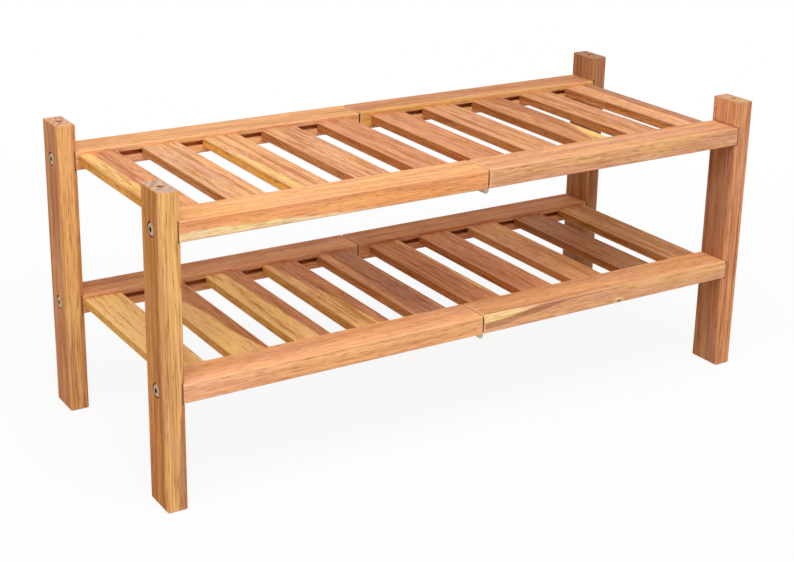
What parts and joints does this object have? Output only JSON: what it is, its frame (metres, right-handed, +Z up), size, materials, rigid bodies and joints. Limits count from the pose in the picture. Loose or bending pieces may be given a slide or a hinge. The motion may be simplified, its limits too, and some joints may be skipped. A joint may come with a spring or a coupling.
{
  "type": "shoe rack",
  "caption": "Free-standing slatted wooden shoe rack: open shelves, each of hinged halves, bolted between corner posts with pin holes in their ends for stacking.",
  "frame": {"origin": "on the floor, under the middle of the rack", "axes": "+X along the shelves to the right, +Y from the front to the rear, +Z up"},
  "size_m": [0.7, 0.29, 0.31],
  "materials": {
    "post_wood": "oiled",
    "rail_wood": "oiled",
    "slat_wood": "oiled",
    "hinge_steel": "zinc plated",
    "zinc_steel": "zinc plated"
  },
  "bodies": {
    "root": {"post_front_left": "post_wood", "post_front_right": "post_wood", "post_rear_left": "post_wood", "post_rear_right": "post_wood", "top_rail_front_left": "rail_wood", "top_rail_front_right": "rail_wood", "top_rail_rear_left": "rail_wood", "top_rail_rear_right": "rail_wood", "lower_rail_front_left": "rail_wood", "lower_rail_front_right": "rail_wood", "lower_rail_rear_left": "rail_wood", "lower_rail_rear_right": "rail_wood", "top_slat_01": "slat_wood", "top_slat_02": "slat_wood", "top_slat_03": "slat_wood", "top_slat_04": "slat_wood", "top_slat_05": "slat_wood", "top_slat_06": "slat_wood", "top_slat_07": "slat_wood", "top_slat_08": "slat_wood", "top_slat_09": "slat_wood", "top_slat_10": "slat_wood", "lower_slat_01": "slat_wood", "lower_slat_02": "slat_wood", "lower_slat_03": "slat_wood", "lower_slat_04": "slat_wood", "lower_slat_05": "slat_wood", "lower_slat_06": "slat_wood", "lower_slat_07": "slat_wood", "lower_slat_08": "slat_wood", "lower_slat_09": "slat_wood", "lower_slat_10": "slat_wood", "top_hinge_front_left_leaf": "hinge_steel", "top_hinge_front_right_leaf": "hinge_steel", "top_hinge_rear_left_leaf": "hinge_steel", "top_hinge_rear_right_leaf": "hinge_steel", "lower_hinge_front_left_leaf": "hinge_steel", "lower_hinge_front_right_leaf": "hinge_steel", "lower_hinge_rear_left_leaf": "hinge_steel", "lower_hinge_rear_right_leaf": "hinge_steel", "top_hinge_front_pin": "hinge_steel", "top_hinge_rear_pin": "hinge_steel", "lower_hinge_front_pin": "hinge_steel", "lower_hinge_rear_pin": "hinge_steel", "post_bolts": "zinc_steel", "barrel_nuts": "zinc_steel", "hinge_screws": "zinc_steel"}
  },
  "joints": []
}
